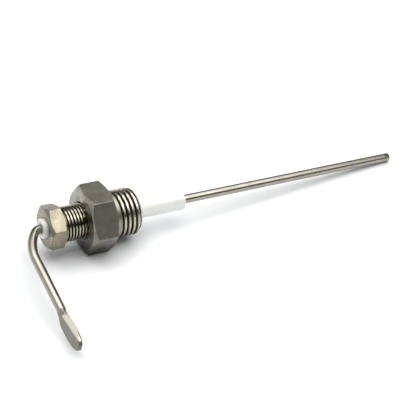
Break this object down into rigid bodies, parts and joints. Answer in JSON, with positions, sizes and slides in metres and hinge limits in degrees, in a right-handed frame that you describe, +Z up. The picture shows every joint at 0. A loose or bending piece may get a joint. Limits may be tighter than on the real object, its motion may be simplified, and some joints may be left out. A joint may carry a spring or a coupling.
{
  "type": "flame sensor probe",
  "caption": "Long bare metal electrode in a white ceramic tube, clamped in a threaded hex fitting by a hollow gland screw, with a bent leg and flat terminal blade behind.",
  "frame": {"origin": "on the probe's axis, in the plane of the shoulder of the big hex that seats on the wall", "axes": "+X along the axis towards the sensing tip, the way the probe goes into the wall; +Z up, square to a flat of the big hex; the terminal leg points mostly to -Y"},
  "size_m": [0.1189, 0.0505, 0.0179],
  "materials": {
    "body_steel": "satin",
    "gland_steel": "satin",
    "washer_steel": "satin",
    "rod_steel": "satin",
    "graphite": "matte",
    "alumina": "satin",
    "cement": "matte"
  },
  "bodies": {
    "fitting": {"fitting_body": "body_steel", "packing_rear": "graphite", "packing_front": "graphite"},
    "follower": {"thrust_washer": "washer_steel"},
    "gland": {"gland_screw": "gland_steel"},
    "electrode": {"electrode_rod": "rod_steel", "insulator": "alumina", "cement_rear": "cement", "cement_front": "cement"}
  },
  "joints": [
    {"name": "gland_travel", "type": "slide", "parent": "fitting", "child": "follower", "axis": [-1, 0, 0], "range_m": [0, 0.00227]},
    {"name": "gland_turn", "type": "hinge", "parent": "follower", "child": "gland", "pos_m": [-0.016, 0, 0], "axis": [-1, 0, 0], "range_deg": [0, 900]},
    {"name": "electrode_turn", "type": "hinge", "parent": "fitting", "child": "electrode", "pos_m": [0, 0, 0], "axis": [1, 0, 0], "continuous": true}
  ],
  "couplings": [
    {"joint": "gland_travel", "follows": "gland_turn", "m_per_rad": 0.00014435}
  ]
}
